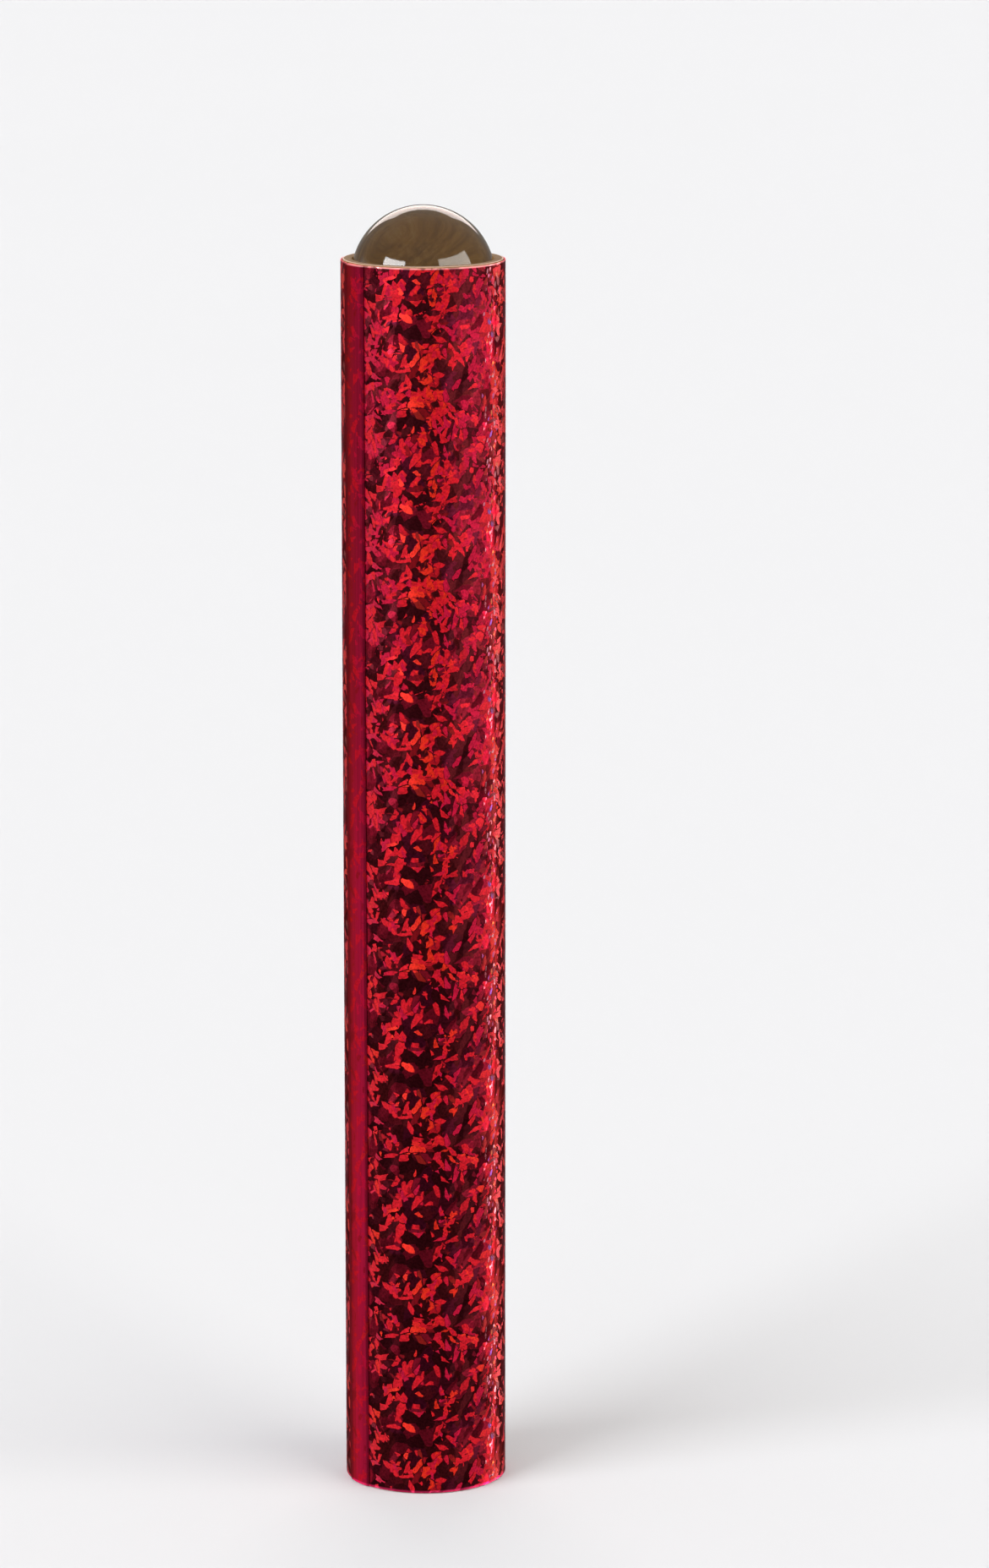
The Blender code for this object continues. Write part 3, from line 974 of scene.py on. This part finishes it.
class KALEIDOSCOPE_OT_eyepiece(bpy.types.Operator):
    """Makes the eyepiece: the black cup, its clear window and the ring that traps it"""

    bl_idname = "kaleidoscope.eyepiece"
    bl_label = "Eyepiece"

    def execute(self, context):
        self.make_plug(context)
        self.make_pane(context)
        self.make_ring(context)
        return {"FINISHED"}

    def make_plug(self, context):
        """The cup's section turned round the axis: a flared sight hole, a floor and a skirt."""
        outer = PLUG_HIGH.x
        inner = PANE_HIGH.x + FIT_GAP
        floor = PANE_LOW.z - FIT_GAP
        bottom, top = PLUG_LOW.z, PLUG_HIGH.z
        outline = rounded_outline(
            [
                (SIGHT_HOLE, bottom + FLARE_SHARE * (floor - bottom), 0.3 * MM),
                (SIGHT_FLARE, bottom, 0.5 * MM),
                (outer, bottom, 0.35 * MM),
                (outer, top, 0.3 * MM),
                (inner, top, 0.25 * MM),
                (inner, floor, 0.1 * MM),
                (SIGHT_HOLE, floor, 0.15 * MM),
            ]
        )
        plug = turned("eyepiece_cup", outline, moulded_finish(context.scene.clear_look))
        stand_for(plug, TUBE_BODY, "black_plastic", "eyepiece_plug")

    def make_pane(self, context):
        """A flat disc with an eased rim, its section turned round the axis."""
        rim, low, high = PANE_HIGH.x, PANE_LOW.z, PANE_HIGH.z
        t = np.linspace(0.0, math.pi / 2, 6)
        across, along = PANE_EASE * np.sin(t), PANE_EASE * np.cos(t)
        side = rim - PANE_EASE
        lower = np.stack([side + across, low + PANE_EASE - along], axis=-1)
        upper = np.stack([side + along, high - PANE_EASE + across], axis=-1)
        outline = np.vstack([[0.0, low], lower, upper, [0.0, high]])
        finish = pane_finish(context.scene.clear_look)
        pane = turned("eyepiece_pane", outline, finish, steps=128, closed=False)
        stand_for(pane, TUBE_BODY, "clear_plastic", "eyepiece_window")

    def make_ring(self, context):
        """A square card section turned round the axis."""
        outline = rounded_outline(
            [
                (RING_INNER, RING_LOW.z, CARD_EASE),
                (RING_HIGH.x, RING_LOW.z, CARD_EASE),
                (RING_HIGH.x, RING_HIGH.z, CARD_EASE),
                (RING_INNER, RING_HIGH.z, CARD_EASE),
            ]
        )
        ring = turned("pane_ring", outline, kraft_finish("ring_kraft", context.scene.board_look))
        stand_for(ring, TUBE_BODY, "ring_card", "window_ring")


class KALEIDOSCOPE_OT_stage(bpy.types.Operator):
    """Sets the floor, the soft light and the camera"""

    bl_idname = "kaleidoscope.stage"
    bl_label = "Stage"

    def execute(self, context):
        look = context.scene.stage_look
        self.make_floor(look)
        self.make_surround(context, look)
        self.make_key_light(context, look)
        self.make_camera(context, look)
        context.scene.view_settings.view_transform = "Standard"
        return {"FINISHED"}

    def make_floor(self, look):
        """Rings of points: x = r cos a, y = r sin a, with r growing by a steady factor."""
        steps = 96
        angle = np.linspace(0.0, math.tau, steps, endpoint=False)[:, None]
        radius = np.hstack([0.0, np.geomspace(0.02, FLOOR_RADIUS, 24)])[None, :]
        flat = 0 * radius + 0 * angle
        points = np.stack([radius * np.cos(angle), radius * np.sin(angle), flat], axis=-1)
        faces = grid_faces(steps, radius.shape[1], True, False)
        floor = make_piece("studio_floor", points, faces, floor_finish(look))
        floor.visible_glossy = False

    def make_surround(self, context, look):
        """A pale studio all round, with panels of light at the table of directions above."""
        recipe = Recipe(bpy.data.worlds.new("studio_surround"), "ShaderNodeOutputWorld")
        heading = recipe.add("ShaderNodeTexCoord").outputs["Generated"]
        upward = recipe.split(heading)[2]
        rise = recipe.sum("MULTIPLY", recipe.sum("ARCSINE", upward), 180.0 / math.pi)
        light = recipe.ramp(
            recipe.fade(rise, -12.0, 60.0),
            [
                (0.0, opaque(look.below)),
                (0.2, opaque(look.around)),
                (1.0, opaque(look.above)),
            ],
        )
        for panel in LIGHT_PANELS:
            light = recipe.vector("ADD", light, self.panel_light(recipe, heading, rise, *panel))
        lit = recipe.add("ShaderNodeBackground", {"Color": light, "Strength": look.power})
        seen = recipe.add("ShaderNodeBackground", {"Color": opaque(look.backdrop)})
        ray = recipe.add("ShaderNodeLightPath").outputs["Is Camera Ray"]
        both = recipe.add("ShaderNodeMixShader")
        recipe.feed(both.inputs[0], ray)
        recipe.feed(both.inputs[1], lit.outputs[0])
        recipe.feed(both.inputs[2], seen.outputs[0])
        context.scene.world = recipe.finish(both.outputs[0])

    @staticmethod
    def panel_light(recipe, heading, rise, centre, half_width, low, high, soft, strength, colour):
        """The light of one panel in a direction, from the direction's heading and its rise."""
        turn = math.radians(centre)
        ahead = recipe.vector("DOT_PRODUCT", heading, (math.sin(turn), -math.cos(turn), 0.0))
        aside = recipe.vector("DOT_PRODUCT", heading, (math.cos(turn), math.sin(turn), 0.0))
        off = recipe.sum("ABSOLUTE", recipe.sum("ARCTAN2", aside, ahead))
        degrees_off = recipe.sum("MULTIPLY", off, 180.0 / math.pi)
        wide = recipe.fade(degrees_off, half_width - soft, half_width + soft, 1.0, 0.0)
        tall = recipe.sum(
            "MULTIPLY",
            recipe.fade(rise, low - soft, low + soft),
            recipe.fade(rise, high - soft, high + soft, 1.0, 0.0),
        )
        share = recipe.sum("MULTIPLY", wide, tall)
        return recipe.scaled(colour, recipe.sum("MULTIPLY", share, strength))

    def make_key_light(self, context, look):
        """One broad, far lamp from the upper left, which casts the tube's soft shadow."""
        lamp = bpy.data.lights.new("key_light", "SUN")
        lamp.energy = look.key
        lamp.angle = KEY_SPREAD
        holder = bpy.data.objects.new("key_light", lamp)
        holder.location = KEY_PLACE
        holder.rotation_euler = aim(np.array(KEY_PLACE), np.zeros(3))
        holder.visible_glossy = False
        context.scene.collection.objects.link(holder)

    def make_camera(self, context, look):
        """A long lens, level in roll, from the front and a little above."""
        lens = bpy.data.cameras.new("front_camera")
        lens.lens = look.lens
        lens.sensor_width = 36.0
        lens.clip_start = 0.01
        holder = bpy.data.objects.new("front_camera", lens)
        holder.location = (0.0, -look.camera_distance, look.camera_height)
        holder.rotation_euler = (math.pi / 2 - look.camera_pitch, 0.0, -look.camera_yaw)
        context.scene.collection.objects.link(holder)
        context.scene.camera = holder


def aim(place, target):
    """The turns that point a lamp from place towards target."""
    x, y, z = target - place
    return (math.atan2(math.hypot(x, y), -z), 0.0, math.atan2(y, x) - math.pi / 2)


class KALEIDOSCOPE_PT_pieces(bpy.types.Panel):
    """Lists the pieces in the order in which they are made"""

    bl_idname = "KALEIDOSCOPE_PT_pieces"
    bl_label = "Kaleidoscope"
    bl_space_type = "VIEW_3D"
    bl_region_type = "UI"
    bl_category = "Kaleidoscope"

    def draw(self, context):
        for look in LOOKS:
            box = self.layout.box()
            group = getattr(context.scene, look)
            for name in group.__annotations__:
                box.prop(group, name)
        for operator in PIECES:
            self.layout.operator(operator.bl_idname)


PIECES = (
    KALEIDOSCOPE_OT_board_tube,
    KALEIDOSCOPE_OT_film_wrap,
    KALEIDOSCOPE_OT_marble_seat,
    KALEIDOSCOPE_OT_mirror_prism,
    KALEIDOSCOPE_OT_eyepiece,
    KALEIDOSCOPE_OT_marble,
    KALEIDOSCOPE_OT_stage,
)
LOOKS = {
    "film_look": FilmLook,
    "board_look": BoardLook,
    "clear_look": ClearLook,
    "stage_look": StageLook,
}


def register():
    for made in (*LOOKS.values(), *PIECES, KALEIDOSCOPE_PT_pieces):
        bpy.utils.register_class(made)
    for name, group in LOOKS.items():
        setattr(bpy.types.Scene, name, PointerProperty(type=group))


def unregister():
    for name in LOOKS:
        delattr(bpy.types.Scene, name)
    for made in reversed((*LOOKS.values(), *PIECES, KALEIDOSCOPE_PT_pieces)):
        bpy.utils.unregister_class(made)


def main():
    register()
    for operator in PIECES:
        category, name = operator.bl_idname.split(".")
        getattr(getattr(bpy.ops, category), name)()


if __name__ == "__main__":
    main()
